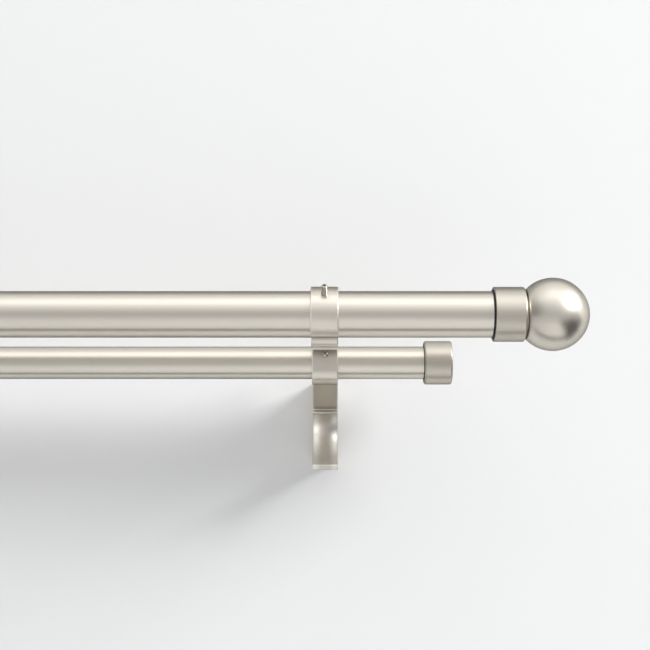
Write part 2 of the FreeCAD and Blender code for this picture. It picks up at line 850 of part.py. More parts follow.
brackets = []
for side, along in (("right", RIGHT_X), ("left", LEFT_X)):
    bracket = doc.addObject("Part::Feature", f"bracket_{side}")
    bracket.Shape = make_casting()
    set_place(bracket, along, "0", "0")
    brackets.append(bracket)

# Screws in the brackets
# Headless socket screws: one through each hook and each ring on to the pole, and one up each foot on to the
# plate.


def make_pair(name, make_one):
    """The same screw in both brackets, kept together as one group of separate solids."""
    group = doc.addObject("Part::Compound", name)
    group.Links = [make_one("right", 0), make_one("left", value(LEFT_X))]
    return group


def clamp_screw(name, pole_radius, out, up, elevation, length):
    """A maker of the screw that stands on a pole's surface and points outwards at an elevation."""

    def make_one(side, along):
        foot = polar(out, up, pole_radius + size("screw_touch"), 180 - elevation)
        direction = polar(0, 0, 1, 180 - elevation)
        base = foot + FreeCAD.Vector(along, 0, 0)
        return socket_screw(f"{name}_{side}", "dim.clamp_screw_d", length, base, direction)

    return make_one


def lock_screw(side, along):
    """The grub screw that stands under the wall plate's lower end, its socket facing down."""
    top = -size("plate_height") / 2 - size("screw_touch")
    base = side_view(size("lock_screw_out"), top) + FreeCAD.Vector(along, 0, 0)
    return socket_screw(
        f"plate_lock_{side}", "dim.grub_screw_d", "dim.lock_screw_length", base, FreeCAD.Vector(0, 0, -1)
    )


screws = [
    make_pair(
        "front_clamp_screws",
        clamp_screw(
            "front_clamp",
            size("front_tube_d") / 2,
            size("front_reach"),
            size("front_rise"),
            size("front_clamp_angle"),
            "dim.front_clamp_length",
        ),
    ),
    make_pair(
        "rear_clamp_screws",
        clamp_screw(
            "rear_clamp",
            size("rear_tube_d") / 2,
            REAR_OUT,
            REAR_UP,
            size("rear_clamp_angle"),
            "dim.rear_clamp_length",
        ),
    ),
    make_pair("plate_lock_screws", lock_screw),
]

# Every piece, checked and written under its own name

doc.recompute()
pieces = [
    front_outer_tube,
    rear_outer_tube,
    front_inner_tube,
    rear_inner_tube,
    front_glide_bush,
    rear_glide_bush,
    *finials,
    *end_caps,
    *wall_plates,
    *brackets,
    *screws,
]
for thing in doc.Objects:
    if {"Invalid", "Error"} & set(thing.State):
        raise RuntimeError(f"{thing.Label} failed: {thing.State}")
for piece in pieces:
    if piece.Shape.isNull() or not piece.Shape.isValid():
        raise RuntimeError(f"{piece.Label} has no valid shape")

os.makedirs("parts", exist_ok=True)
for piece in pieces:
    piece.Shape.exportStep(f"parts/{piece.Label}.step")
    print(f"{piece.Label}: {len(piece.Shape.Solids)} solids, {piece.Shape.Volume:.1f} mm3")
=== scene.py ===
import math

import bmesh
import bpy
from mathutils import Matrix, Vector


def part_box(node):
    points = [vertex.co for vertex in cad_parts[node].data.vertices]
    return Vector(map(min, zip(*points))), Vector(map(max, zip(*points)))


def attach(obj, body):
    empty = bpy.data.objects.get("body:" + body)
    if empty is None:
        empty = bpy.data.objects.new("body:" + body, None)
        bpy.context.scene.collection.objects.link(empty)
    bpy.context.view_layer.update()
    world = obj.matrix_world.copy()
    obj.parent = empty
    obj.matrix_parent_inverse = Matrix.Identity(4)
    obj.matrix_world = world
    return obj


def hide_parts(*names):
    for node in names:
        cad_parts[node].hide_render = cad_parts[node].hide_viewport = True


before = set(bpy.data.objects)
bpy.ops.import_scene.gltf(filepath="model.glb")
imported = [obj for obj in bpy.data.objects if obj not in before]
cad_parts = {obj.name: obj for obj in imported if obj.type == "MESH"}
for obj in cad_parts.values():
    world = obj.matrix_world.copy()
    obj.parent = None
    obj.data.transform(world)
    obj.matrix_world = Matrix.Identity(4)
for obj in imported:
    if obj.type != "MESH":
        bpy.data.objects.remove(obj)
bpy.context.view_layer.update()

# Tubes
# Four rolled steel tubes: two fixed outer ones, and two that slide inside them. Each is welded along one
# line, turned to the wall, then ground round on a centreless grinder and plated in satin nickel.


class Socket:
    """A value in a node tree. An expression on it adds the Math nodes that the expression needs."""

    def __init__(self, nodes, output):
        self.nodes = nodes
        self.output = output

    def maths(self, operation, *values):
        return self.nodes.add("ShaderNodeMath", {"operation": operation}, dict(enumerate(values)))

    def __add__(self, other):
        return self.maths("ADD", self, other)

    __radd__ = __add__

    def __sub__(self, other):
        return self.maths("SUBTRACT", self, other)

    def __rsub__(self, other):
        return self.maths("SUBTRACT", other, self)

    def __mul__(self, other):
        return self.maths("MULTIPLY", self, other)

    __rmul__ = __mul__

    def __truediv__(self, other):
        return self.maths("DIVIDE", self, other)

    def __pow__(self, other):
        return self.maths("POWER", self, other)

    def __neg__(self):
        return self.maths("MULTIPLY", self, -1.0)

    def __abs__(self):
        return self.maths("ABSOLUTE", self)

    def or_less(self, other):
        return self.maths("MINIMUM", self, other)

    def between(self, low, high):
        """0 up to low, 1 from high on, and a soft step between them."""
        return self.nodes.add(
            "ShaderNodeMapRange",
            {"interpolation_type": "SMOOTHSTEP"},
            {"Value": self, "From Min": low, "From Max": high},
        )


class Nodes:
    """The node tree of a new material, or of the world, laid out from its sockets."""

    def __init__(self, owner):
        owner.use_nodes = True
        self.owner = owner
        self.tree = owner.node_tree
        self.tree.nodes.clear()

    def add(self, kind, settings=None, values=None, output=0):
        """Add a node, set it up, fill or link its inputs by name, and return one of its outputs."""
        made = self.tree.nodes.new(kind)
        for name, setting in (settings or {}).items():
            setattr(made, name, setting)
        for name, value in (values or {}).items():
            if isinstance(value, Socket):
                self.tree.links.new(value.output, made.inputs[name])
            else:
                made.inputs[name].default_value = value
        return Socket(self, made.outputs[output]) if made.outputs else None

    def blend(self, share, first, second):
        """A mix of two colours."""
        return self.add("ShaderNodeMix", {"data_type": "RGBA"}, {0: share, 6: first, 7: second}, output=2)

    def split(self, vector):
        """The X, Y and Z of a vector."""
        return [self.add("ShaderNodeSeparateXYZ", {}, {"Vector": vector}, output=axis) for axis in range(3)]

    def place(self):
        """The point on the piece, in its own coordinates."""
        return self.add("ShaderNodeTexCoord", output="Object")

    def noise(self, vector, scale, detail=3.0, roughness=0.5):
        values = {"Vector": vector, "Scale": scale, "Detail": detail, "Roughness": roughness}
        return self.add("ShaderNodeTexNoise", {}, values)

    def stretched(self, vector, scale):
        return self.add("ShaderNodeMapping", {}, {"Vector": vector, "Scale": scale})

    def bump(self, height, strength, distance):
        values = {"Height": height, "Strength": strength, "Distance": distance}
        return self.add("ShaderNodeBump", {}, values)

    def principled(self, values):
        """Close a material with the one shader that most finishes need."""
        shader = self.add("ShaderNodeBsdfPrincipled", {"distribution": "GGX"}, values)
        self.close(shader, "ShaderNodeOutputMaterial")
        return self.owner

    def close(self, shader, kind):
        self.add(kind, {}, {"Surface": shader})


def grey(level):
    return (level, level, level, 1.0)


def new_finish(name):
    return Nodes(bpy.data.materials.new(name))


NICKEL = (0.745, 0.70, 0.625, 1.0)
NICKEL_WARM = (0.725, 0.675, 0.585, 1.0)
NICKEL_EDGE = grey(0.30)
METAL_RELIEF = 0.00001
SEAM_EDGE = (0.00012, 0.0005)
SEAM_SIDE = (0.0, 0.002)


def tube_nickel(name, axis):
    """Satin nickel on a tube round an axis (y, z), with fine lines round it, draw marks and a seam."""
    nodes = new_finish(name)
    place = nodes.place()
    grinding = nodes.noise(nodes.stretched(place, (6000.0, 300.0, 300.0)), 1.0, 2.0)
    drawing = nodes.noise(nodes.stretched(place, (3.0, 900.0, 900.0)), 1.0, 2.0)
    clouds = nodes.noise(place, 30.0)
    back, up = nodes.split(place)[1:]
    beside_seam = abs(up - axis[1])
    seam = (1 - beside_seam.between(*SEAM_EDGE)) * (back - axis[0]).between(*SEAM_SIDE)
    height = grinding * 0.5 + drawing * 0.5 - seam * 4
    return nodes.principled(
        {
            "Base Color": nodes.blend(clouds, NICKEL, NICKEL_WARM),
            "Metallic": 1.0,
            "Roughness": 0.26 + 0.05 * grinding + 0.04 * clouds + 0.15 * seam,
            "Specular Tint": NICKEL_EDGE,
            "Normal": nodes.bump(height, 0.25, METAL_RELIEF),
        }
    )


def dress(node, material):
    """Give a CAD node its finish."""
    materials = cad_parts[node].data.materials
    materials.clear()
    materials.append(material)


def axis_of(node):
    """The middle of a node's box across the poles, as (y, z)."""
    low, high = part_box(node)
    return ((low[1] + high[1]) / 2, (low[2] + high[2]) / 2)


FRONT_AXIS = axis_of("front_outer_tube")
REAR_AXIS = axis_of("rear_outer_tube")
for row, axis in (("front", FRONT_AXIS), ("rear", REAR_AXIS)):
    finish = tube_nickel(f"satin_nickel_{row}_tubes", axis)
    dress(f"{row}_outer_tube", finish)
    dress(f"{row}_inner_tube", finish)

# Glide bushes
# A moulded white nylon sleeve in the mouth of each outer tube keeps metal off metal. It is slit along its
# top so that it springs in, and its thin flange covers the tube's cut edge.

NYLON = (0.80, 0.79, 0.75, 1.0)
NYLON_PALE = (0.86, 0.85, 0.82, 1.0)
BUSH_SLIT = 0.0009
BORE_CLEARANCE = 0.00025
SLEEVE_INSET = 0.00105
FINE_ROUND = 0.00005
SMALL_ROUND = 0.0001
MOULD_ROUND = 0.0002
FLANGE_ROUND = 0.00025
SLEEVE_NOSE_ROUND = 0.0004
BUSH_STEPS = 96


def radius_of(node):
    """Half the height of a node's box."""
    low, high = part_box(node)
    return (high[2] - low[2]) / 2


def rounded_ring(corners, steps=5):
    """Turn (along, radius, rounding) corners of a closed section into points with arcs at the corners."""
    points = []
    for index, (along, radius, rounding) in enumerate(corners):
        corner = Vector((along, radius))
        before = Vector(corners[index - 1][:2]) - corner
        after = Vector(corners[(index + 1) % len(corners)][:2]) - corner
        half_angle = before.angle(after) / 2
        before.normalize()
        after.normalize()
        reach = rounding / math.tan(half_angle)
        centre = corner + (before + after).normalized() * rounding / math.sin(half_angle)
        start = corner + before * reach - centre
        end = corner + after * reach - centre
        turn = start.angle_signed(end)
        for step in range(steps + 1):
            spoke = start.copy()
            spoke.rotate(Matrix.Rotation(-turn * step / steps, 2))
            points.append(centre + spoke)
    return points


def spin(mesh, section, closed=True, turn=math.tau, steps=128, start=0.0):
    """Spin (along, radius) points round the X axis into a bmesh, and close the ends of a part turn."""
    full = turn == math.tau
    rings = []
    for step in range(steps if full else steps + 1):
        angle = start + turn * step / steps
        rings.append(
            [
                mesh.verts.new((along, -radius * math.sin(angle), radius * math.cos(angle)))
                for along, radius in section
            ]
        )
    pairs = list(zip(rings, rings[1:]))
    if full:
        pairs.append((rings[-1], rings[0]))
    count = len(section) if closed else len(section) - 1
    for here, there in pairs:
        for index in range(count):
            following = (index + 1) % len(section)
            mesh.faces.new((here[index], here[following], there[following], there[index]))
    if not full:
        mesh.faces.new(rings[0][::-1])
        mesh.faces.new(rings[-1])


def piece_from(mesh, name, place, material, crease=30):
    """Make an object of a bmesh, smooth except where faces meet at more than the crease angle."""
    bmesh.ops.recalc_face_normals(mesh, faces=mesh.faces)
    for face in mesh.faces:
        face.smooth = True
    for edge in mesh.edges:
        if len(edge.link_faces) == 2 and edge.calc_face_angle() > math.radians(crease):
            edge.smooth = False
    data = bpy.data.meshes.new(name)
    mesh.to_mesh(data)
    mesh.free()
    data.materials.append(material)
    piece = bpy.data.objects.new(name, data)
    piece.location = place
    bpy.context.scene.collection.objects.link(piece)
    shading = piece.modifiers.new("even_shading", "WEIGHTED_NORMAL")
    shading.keep_sharp = True
    return piece


def white_nylon():
    """Moulded nylon: slightly cloudy, with the faint ripple of the mould."""
    nodes = new_finish("white_nylon")
    place = nodes.place()
    ripple = nodes.noise(place, 900.0)
    cloud = nodes.noise(place, 160.0)
    return nodes.principled(
        {
            "Base Color": nodes.blend(cloud, NYLON, NYLON_PALE),
            "Roughness": 0.34 + 0.12 * ripple,
            "Subsurface Weight": 0.15,
            "Subsurface Scale": 0.001,
            "Normal": nodes.bump(ripple, 0.3, 0.00003),
        }
    )


nylon = white_nylon()
for row in ("front", "rear"):
    node = f"{row}_glide_bush"
    low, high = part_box(node)
    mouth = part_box(f"{row}_outer_tube")[0][0]
    flange = radius_of(node)
    sleeve = radius_of(f"{row}_outer_tube") - SLEEVE_INSET
    bore = radius_of(f"{row}_inner_tube") + BORE_CLEARANCE
    section = rounded_ring(
        [
            (low[0] - mouth, bore, MOULD_ROUND),
            (high[0] - mouth, bore, MOULD_ROUND),
            (high[0] - mouth, sleeve, SLEEVE_NOSE_ROUND),
            (0.0, sleeve, FINE_ROUND),
            (0.0, flange, SMALL_ROUND),
            (low[0] - mouth, flange, FLANGE_ROUND),
        ]
    )
    slit_turn = BUSH_SLIT / bore
    bush = bmesh.new()
    spin(bush, section, turn=math.tau - slit_turn, steps=BUSH_STEPS, start=slit_turn / 2)
    piece = piece_from(bush, f"{row}_slit_bush", (mouth, *axis_of(node)), nylon)
    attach(piece, "wall_side")
    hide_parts(node)

# Finial collars and liners
# A drawn steel cup slips over each end of the front pole, turned bright and plated satin. A dark plastic
# liner takes up the room between cup and tube, and its lip shows as a thin ring in the cup's mouth.

CUP_NICKEL = (0.63, 0.59, 0.52, 1.0)
CUP_NICKEL_WARM = (0.60, 0.555, 0.475, 1.0)
LINER_BLACK = (0.012, 0.012, 0.013, 1.0)
LINER_GREY = (0.0162, 0.0162, 0.01755, 1.0)
LIP_WALL = 0.00035
LIP_ROUND = 0.00015
COLLAR_LIP = 0.0013
bracket_places = [sum(corner[0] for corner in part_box(f"bracket_{side}")) / 2 for side in ("right", "left")]


def turned_nickel(name, axis, roughness, colours):
    """Satin nickel on a lathe-turned piece: fine rings round its axis (y, z), over a soft cloudiness."""
    nodes = new_finish(name)
    place = nodes.place()
    along, back, up = nodes.split(place)
    radius = ((back - axis[0]) ** 2.0 + (up - axis[1]) ** 2.0) ** 0.5
    track = nodes.add("ShaderNodeCombineXYZ", {}, {"X": along + radius * 0.8})
    rings = nodes.noise(track, 5000.0, 2.0)
    wide_rings = nodes.noise(track, 900.0, 2.0)
    clouds = nodes.noise(place, 60.0)
    return nodes.principled(
        {
            "Base Color": nodes.blend(clouds, *colours),
            "Metallic": 1.0,
            "Roughness": roughness + 0.04 * (wide_rings + rings - 1) + 0.06 * (clouds - 0.5),
            "Specular Tint": NICKEL_EDGE,
            "Normal": nodes.bump(rings + wide_rings, 0.25, METAL_RELIEF),
        }
    )


def liner_moulding():
    """Dark injection-moulded plastic with a fine spark-eroded grain."""
    nodes = new_finish("black_liner_plastic")
    place = nodes.place()
    grain = nodes.noise(place, 4000.0, 4.0, 0.6)
    cloud = nodes.noise(place, 200.0)
    return nodes.principled(
        {
            "Base Color": nodes.blend(cloud, LINER_BLACK, LINER_GREY),
            "Roughness": 0.42 + 0.2 * grain,
            "Normal": nodes.bump(grain, 0.4, 0.00002),
        }
    )


def face_left(mesh):
    """Turn a mesh half round, so that what faced right faces left."""
    bmesh.ops.rotate(mesh, verts=mesh.verts, cent=(0, 0, 0), matrix=Matrix.Rotation(math.pi, 3, "Z"))


collar_finish = turned_nickel("satin_nickel_collars", FRONT_AXIS, 0.38, (CUP_NICKEL, CUP_NICKEL_WARM))
liner_plastic = liner_moulding()


def lipped_liner(name, node, tube, body, lip):
    """A liner with a thin lip that stands out of the cup's mouth along the tube, towards the brackets."""
    low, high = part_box(node)
    length = high[0] - low[0]
    bore = radius_of(tube)
    outer = radius_of(node)
    section = rounded_ring(
        [
            (-lip, bore, FINE_ROUND),
            (length, bore, SMALL_ROUND),
            (length, outer, MOULD_ROUND),
            (0.0, outer, SMALL_ROUND),
            (0.0, bore + LIP_WALL, FINE_ROUND),
            (-lip, bore + LIP_WALL, LIP_ROUND),
        ]
    )
    mesh = bmesh.new()
    spin(mesh, section)
    mouth = low[0]
    if low[0] < sum(bracket_places) / 2:
        face_left(mesh)
        mouth = high[0]
    piece = piece_from(mesh, name, (mouth, *axis_of(node)), liner_plastic)
    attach(piece, body)
    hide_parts(node)


for side, tube, body in (
    ("right", "front_outer_tube", "wall_side"),
    ("left", "front_inner_tube", "front_inner"),
):
    dress(f"finial_collar_{side}", collar_finish)
    lipped_liner(f"collar_liner_{side}", f"finial_liner_{side}", tube, body, COLLAR_LIP)

# Finial balls and studs
# A hollow spun steel ball with a small flat seat, screwed against the collar on a steel stud. The rings of
# the spinning run round the pole's axis, and the skin is rolled over a short neck that leaves a dark joint.

STEEL_DARK = grey(0.42)
STEEL_PALE = (0.55, 0.54, 0.52, 1.0)
BALL_RADIUS = 0.020
SEAT_RADIUS = 0.0126
SEAT_ROLL = 0.0004
NECK_RADIUS = 0.0115
NECK_WIDTH = 0.0009
STUD_HOLE_RADIUS = 0.003
STUD_HOLE_DEPTH = 0.0106
ROLL_STEPS = 8
BALL_STEPS = 72
BALL_SPOKES = 160


def ball_section():
    """The skin from the bottom of the stud hole to the far pole, as (along, radius) from the seat."""
    centre = math.sqrt(BALL_RADIUS**2 - SEAT_RADIUS**2)
    shoulder = NECK_WIDTH + SEAT_ROLL
    roll_spread = math.sqrt((BALL_RADIUS - SEAT_ROLL) ** 2 - (centre - shoulder) ** 2)
    leave = math.atan2(roll_spread, centre - shoulder)
    section = [
        (STUD_HOLE_DEPTH, 0.0),
        (STUD_HOLE_DEPTH, STUD_HOLE_RADIUS),
        (0.0, STUD_HOLE_RADIUS),
        (0.0, NECK_RADIUS),
        (NECK_WIDTH, NECK_RADIUS),
    ]
    for step in range(ROLL_STEPS + 1):
        turn = leave * step / ROLL_STEPS
        section.append((shoulder - SEAT_ROLL * math.cos(turn), roll_spread + SEAT_ROLL * math.sin(turn)))
    for step in range(1, BALL_STEPS + 1):
        turn = leave * (1 - step / BALL_STEPS) + math.pi * step / BALL_STEPS
        section.append((centre - BALL_RADIUS * math.cos(turn), BALL_RADIUS * math.sin(turn)))
    section[-1] = (centre + BALL_RADIUS, 0.0)
    return section


def stud_steel():
    """Plain machined steel, with the turning marks of a bar lathe."""
    nodes = new_finish("machined_steel")
    marks = nodes.noise(nodes.stretched(nodes.place(), (4000.0, 60.0, 60.0)), 1.0)
    return nodes.principled(
        {
            "Base Color": nodes.blend(marks, STEEL_DARK, STEEL_PALE),
            "Metallic": 1.0,
            "Roughness": 0.28 + 0.15 * marks,
        }
    )


ball_finish = turned_nickel("satin_nickel_balls", (0.0, 0.0), 0.35, (NICKEL, NICKEL_WARM))
plain_steel = stud_steel()
for side, body in (("right", "wall_side"), ("left", "front_inner")):
    node = f"finial_ball_{side}"
    low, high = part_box(node)
    ball = bmesh.new()
    spin(ball, ball_section(), closed=False, steps=BALL_SPOKES)
    bmesh.ops.remove_doubles(ball, verts=ball.verts, dist=1e-7)
    seat = low[0]
    if side == "left":
        face_left(ball)
        seat = high[0]
    piece = piece_from(ball, f"spun_ball_{side}", (seat, *FRONT_AXIS), ball_finish)
    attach(piece, body)
    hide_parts(node)
    dress(f"finial_stud_{side}", plain_steel)

# Rear end caps
# The rear pole ends in plain drawn cups, shallower than the collars, turned and plated like them. Each is
# pushed on over a plastic liner that grips the tube.

CAP_LIP = 0.0008
cap_finish = turned_nickel("satin_nickel_caps", REAR_AXIS, 0.38, (CUP_NICKEL, CUP_NICKEL_WARM))
for side, tube, body in (
    ("right", "rear_outer_tube", "wall_side"),
    ("left", "rear_inner_tube", "rear_inner"),
):
    dress(f"rear_end_cap_{side}", cap_finish)
    lipped_liner(f"cap_liner_{side}", f"rear_cap_liner_{side}", tube, body, CAP_LIP)

# Wall plates
# Flat strips of zinc-plated steel behind the brackets, sheared and bevelled at both ends. The rolling lines
# run along the strip, and the thin plating has a faint blue cast with cloudy patches.

ZINC_BLUE = (0.56, 0.60, 0.66, 1.0)
ZINC_GREY = (0.68, 0.67, 0.63, 1.0)


def zinc_plate():
    """Thin bright zinc over rolled steel."""
    nodes = new_finish("blue_zinc_plating")
    place = nodes.place()
    rolling = nodes.noise(nodes.stretched(place, (2500.0, 2500.0, 90.0)), 1.0)
    cloud = nodes.noise(place, 220.0, 5.0, 0.6)
    return nodes.principled(
        {
            "Base Color": nodes.blend(cloud, ZINC_BLUE, ZINC_GREY),
            "Metallic": 1.0,
            "Roughness": 0.30 + 0.14 * rolling + 0.12 * cloud,
            "Normal": nodes.bump(rolling, 0.4, METAL_RELIEF),
        }
    )


zinc = zinc_plate()
for side in ("right", "left"):
    dress(f"wall_plate_{side}", zinc)

# Brackets
# One zinc die casting each, tumbled smooth and plated in satin nickel. The sides of the hollow in its foot
# roll back. Painted highlights lighten them and the step above the rear screw; painted shade darkens the
# corners, the stem and the band under that step, but is kept off the hollow's sides and the ledge above it.

# Dark colour for painted shade on the casting.
NICKEL_PAINTED_SHADE = (0.28, 0.25, 0.20, 1.0)
# Light colour for painted highlights on the casting.
NICKEL_PAINTED_HIGHLIGHT = (0.95, 0.92, 0.85, 1.0)
CORNER_REACH = 0.035

# Soft steps of the finish, each as (low, high). The first two are measured from the bracket's middle, the
# two that end in BACK along y, and the rest along z.
FACE_EDGE = (0.0066, 0.0074)
FLANK_RISE = (0.0020, 0.0060)
SHOULDER_TOP = (0.0045, 0.0060)
LEDGE_FOOT = (0.0058, 0.0066)
LEDGE_TOP = (0.0082, 0.0095)
STEM_BACK = (-0.045, -0.030)
RING_BACK = (-0.050, -0.045)
BELOW_STEP = (0.0405, 0.0456)
STEP_FOOT = (0.0457, 0.0460)
STEP_TOP = (0.0468, 0.0471)


def cast_nickel():
    """Tumbled, plated zinc, with painted shade in corners, on the stem and under the step, and painted
    highlights on the hollow's sides and the step.
    """
    nodes = new_finish("satin_nickel_casting")
    place = nodes.place()
    waves = nodes.noise(place, 160.0, 2.0)
    peel = nodes.noise(place, 1500.0, 2.0)
    grain = nodes.noise(place, 7000.0, 3.0, 0.6)
    clouds = nodes.noise(place, 90.0)
    height = waves * 4 + peel * 0.7 + grain * 0.5
    rays = {"samples": 8, "only_local": True}
    openness = nodes.add("ShaderNodeAmbientOcclusion", rays, {"Distance": CORNER_REACH}, output="AO")
    along, back, up = nodes.split(place)
    across = abs(along - bracket_places[0]).or_less(abs(along - bracket_places[1]))
    face = 1 - across.between(*FACE_EDGE)
    above_ledge = up.between(*LEDGE_TOP)
    flank = across.between(*FLANK_RISE) * (1 - above_ledge)
    shoulder = flank * face * (1 - up.between(*SHOULDER_TOP))
    ledge = up.between(*LEDGE_FOOT) * (1 - above_ledge)
    # Painted shade on the stem, which takes part of the dark colour.
    stem_shade = above_ledge * back.between(*STEM_BACK) * face
    ring_face = (1 - back.between(*RING_BACK)) * face
    step_foot = up.between(*STEP_FOOT)
    # Painted shade in a band under the step above the rear screw.
    shade_below_step = up.between(*BELOW_STEP) * (1 - step_foot) * ring_face
    step_edge = step_foot * (1 - up.between(*STEP_TOP)) * ring_face
    # Painted shade: where the casting's own occlusion finds corners the colour darkens, except on the
    # hollow's sides, the ledge and the step's edge.
    painted_corner_shade = (1 - openness.between(0.25, 0.95)) * (1 - flank) * (1 - ledge) * (1 - step_edge)
    painted_shade = painted_corner_shade + 0.45 * stem_shade + 0.6 * shade_below_step
    plated = nodes.blend(clouds, NICKEL, NICKEL_WARM)
    # Painted highlights: the step's edge and the rolled-back sides of the hollow take the light colour.
    with_painted_highlight = nodes.blend(step_edge + 0.9 * shoulder, plated, NICKEL_PAINTED_HIGHLIGHT)
    return nodes.principled(
        {
            "Base Color": nodes.blend(painted_shade, with_painted_highlight, NICKEL_PAINTED_SHADE),
            "Metallic": 1.0,
            "Roughness": 0.48 - 0.19 * above_ledge * face - 0.04 * shoulder + 0.08 * clouds + 0.04 * grain,
            "Specular Tint": NICKEL_EDGE,
            "Normal": nodes.bump(height, 0.5, METAL_RELIEF),
        }
    )


SHOULDER_FALL = 0.0024
SHOULDER_ENDS = 0.06
SHOULDER_END_SHARE = 0.45
COVE_HALF_WIDTH = 0.00705
COVE_TOP = 0.005
COVE_BOTTOM = -0.019
COVE_BACK = -0.009
casting = cast_nickel()
castings = bpy.data.collections.new("castings")
for side, middle in zip(("right", "left"), bracket_places):
    node = f"bracket_{side}"
    mesh = bmesh.new()
    mesh.from_mesh(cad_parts[node].data)
    bmesh.ops.remove_doubles(mesh, verts=mesh.verts, dist=1e-6)
    for corner in mesh.verts:
        across = min(1.0, abs(corner.co.x - middle) / COVE_HALF_WIDTH)
        down = (COVE_TOP - corner.co.z) / (COVE_TOP - COVE_BOTTOM)
        if 0 < down < 1 and corner.co.y < COVE_BACK:
            fall = SHOULDER_END_SHARE + (1 - SHOULDER_END_SHARE) * math.sin(math.pi * down)
            fall *= min(1.0, down / SHOULDER_ENDS, (1 - down) / SHOULDER_ENDS)
            corner.co.y += SHOULDER_FALL * across**2 * fall
    piece = piece_from(mesh, f"cast_bracket_{side}", (0, 0, 0), casting)
    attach(piece, "wall_side")
    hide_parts(node)
    castings.objects.link(piece)

# Set screws
# Headless steel screws with a hexagon socket, nickel-flashed. One bears on each pole in each bracket, one
# locks each casting on its wall plate from below, and one holds each collar on its tube.

# Dark colour for painted shade in the screws' thread roots.
SCREW_ROOT_SHADE = (0.12, 0.11, 0.09, 1.0)
SCREW_CREST = (0.58, 0.54, 0.46, 1.0)
CLAMP_SCREW_RADIUS = 0.0017
GRUB_SCREW_RADIUS = 0.0015
THREAD_PITCH = 0.0006
THREAD_DEPTH = 0.00028
THREAD_FADE = 0.0005
GROOVE_SHAPE = 1.3
SCREW_BEVEL = 0.00025
BEVEL_SHARE = 0.6
SOCKET_SHARE = 0.50
SOCKET_DEPTH = 0.0012
SCREW_STEPS = 48
SCREW_CREASE = 60
ROWS_A_PITCH = 8


def hexagon(radius, steps):
    """Points round a hexagon, as many to each side."""
    angles = [side * math.pi / 3 for side in range(7)]
    corners = [Vector((radius * math.cos(angle), radius * math.sin(angle))) for angle in angles]
    each = steps // 6
    return [corners[side].lerp(corners[side + 1], step / each) for side in range(6) for step in range(each)]


def set_screw(mesh, radius, length, foot, direction):
    """Add a threaded screw with a socket in its far end, standing on its foot along a direction."""
    angles = [math.tau * step / SCREW_STEPS for step in range(SCREW_STEPS)]
    circle = [Vector((math.cos(angle), math.sin(angle))) for angle in angles]
    end_rim = [spoke * (radius - THREAD_DEPTH - SCREW_BEVEL * BEVEL_SHARE) for spoke in circle]
    socket_rim = hexagon(radius * SOCKET_SHARE, SCREW_STEPS)
    levels = [(0.0, end_rim)]
    rows = round((length - 2 * SCREW_BEVEL) / THREAD_PITCH * ROWS_A_PITCH)
    for row in range(rows + 1):
        height = SCREW_BEVEL + (length - 2 * SCREW_BEVEL) * row / rows
        fade = min(1.0, height / THREAD_FADE, (length - height) / THREAD_FADE)
        level = []
        for step, spoke in enumerate(circle):
            phase = (height / THREAD_PITCH - step / SCREW_STEPS) % 1.0
            groove = abs(2 * phase - 1) ** GROOVE_SHAPE
            level.append(spoke * (radius - THREAD_DEPTH * (1 - fade) - THREAD_DEPTH * groove * fade))
        levels.append((height, level))
    levels += [(length, end_rim), (length, socket_rim), (length - SOCKET_DEPTH, socket_rim)]
    stand = Matrix.Translation(foot) @ direction.to_track_quat("Z", "Y").to_matrix().to_4x4()
    rings = [
        [mesh.verts.new(stand @ Vector((*point, height))) for point in level] for height, level in levels
    ]
    for here, there in zip(rings, rings[1:]):
        for step in range(SCREW_STEPS):
            following = (step + 1) % SCREW_STEPS
            mesh.faces.new((here[step], here[following], there[following], there[step]))
    mesh.faces.new(rings[0][::-1])
    mesh.faces.new(rings[-1])


def screw_steel():
    """Hardened steel under a thin nickel flash, with painted shade in the thread's roots and other hollow
    edges.
    """
    nodes = new_finish("flashed_screw_steel")
    scratches = nodes.noise(nodes.place(), 2600.0, 4.0, 0.6)
    # Painted shade: hollow edges, such as the thread's roots, take the dark colour; flat and raised surfaces
    # keep the metal's colour.
    crests = nodes.add("ShaderNodeNewGeometry", output="Pointiness").between(0.42, 0.51)
    return nodes.principled(
        {
            "Base Color": nodes.blend(crests, SCREW_ROOT_SHADE, SCREW_CREST),
            "Metallic": 1.0,
            "Roughness": 0.22 + 0.15 * scratches,
        }
    )


screw_finish = screw_steel()


def screws(name, node, body, radius, length, feet, direction):
    """One piece of like screws, standing on their feet along a direction."""
    mesh = bmesh.new()
    for foot in feet:
        set_screw(mesh, radius, length, Vector(foot), Vector(direction))
    piece = piece_from(mesh, name, (0, 0, 0), screw_finish, crease=SCREW_CREASE)
    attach(piece, body)
    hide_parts(node)


for row, axis, standoff, length, elevation in (
    ("front", FRONT_AXIS, 0.01275, 0.0082, 47),
    ("rear", REAR_AXIS, 0.009575, 0.0050, 24),
):
    slope = math.radians(elevation)
    outward = Vector((0, -math.cos(slope), math.sin(slope)))
    back = axis[0] + outward.y * standoff
    up = axis[1] + outward.z * standoff
    feet = [(along, back, up) for along in bracket_places]
    node = f"{row}_clamp_screws"
    screws(f"{row}_pole_screws", node, "wall_side", CLAMP_SCREW_RADIUS, length, feet, outward)

downward = (0, 0, -1)
node = "plate_lock_screws"
low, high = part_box(node)
feet = [(along, axis_of(node)[0], high[2]) for along in bracket_places]
screws("foot_lock_screws", node, "wall_side", GRUB_SCREW_RADIUS, high[2] - low[2], feet, downward)
for side, body in (("right", "wall_side"), ("left", "front_inner")):
    node = f"finial_grub_screw_{side}"
    low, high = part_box(node)
    feet = [((low[0] + high[0]) / 2, axis_of(node)[0], high[2])]
    screws(f"collar_screw_{side}", node, body, GRUB_SCREW_RADIUS, high[2] - low[2], feet, downward)

